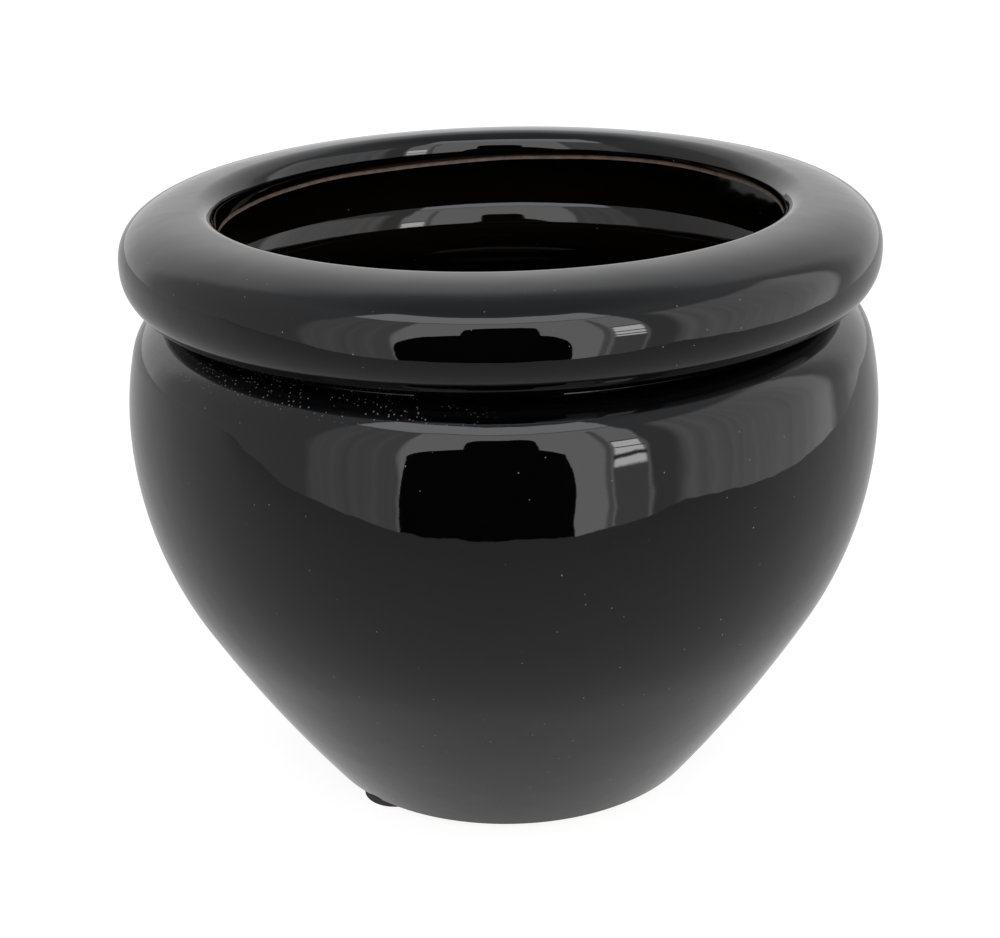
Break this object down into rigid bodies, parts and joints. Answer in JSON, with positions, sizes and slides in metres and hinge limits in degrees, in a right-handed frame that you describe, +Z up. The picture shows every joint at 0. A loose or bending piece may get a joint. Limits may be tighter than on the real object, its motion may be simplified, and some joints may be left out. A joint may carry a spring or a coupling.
{
  "type": "glazed planter pot",
  "caption": "Round black-glazed ceramic planter with a rolled rim over a full belly that tapers to a narrow foot with stick-on pads.",
  "frame": {"origin": "on the pot's axis, at the level of the pads' undersides, where it stands", "axes": "+Z up along the pot's axis; -Y towards the viewer at the front and +X to the viewer's right"},
  "size_m": [0.2224, 0.2224, 0.1791],
  "materials": {
    "fired_clay": "matte, bare only along the foot and the trimmed lip",
    "black_glaze": "high gloss, breaking brown where it runs thin on an edge",
    "liner_glaze": "gloss, brown-black",
    "pad_rubber": "matte",
    "pad_glue": "matte"
  },
  "bodies": {
    "root": {"clay_body": "fired_clay", "outer_glaze": "black_glaze", "inner_glaze": "liner_glaze", "base_glaze": "black_glaze", "foot_pad_1": "pad_rubber", "foot_pad_2": "pad_rubber", "foot_pad_3": "pad_rubber", "pad_adhesive_1": "pad_glue", "pad_adhesive_2": "pad_glue", "pad_adhesive_3": "pad_glue"}
  },
  "joints": []
}
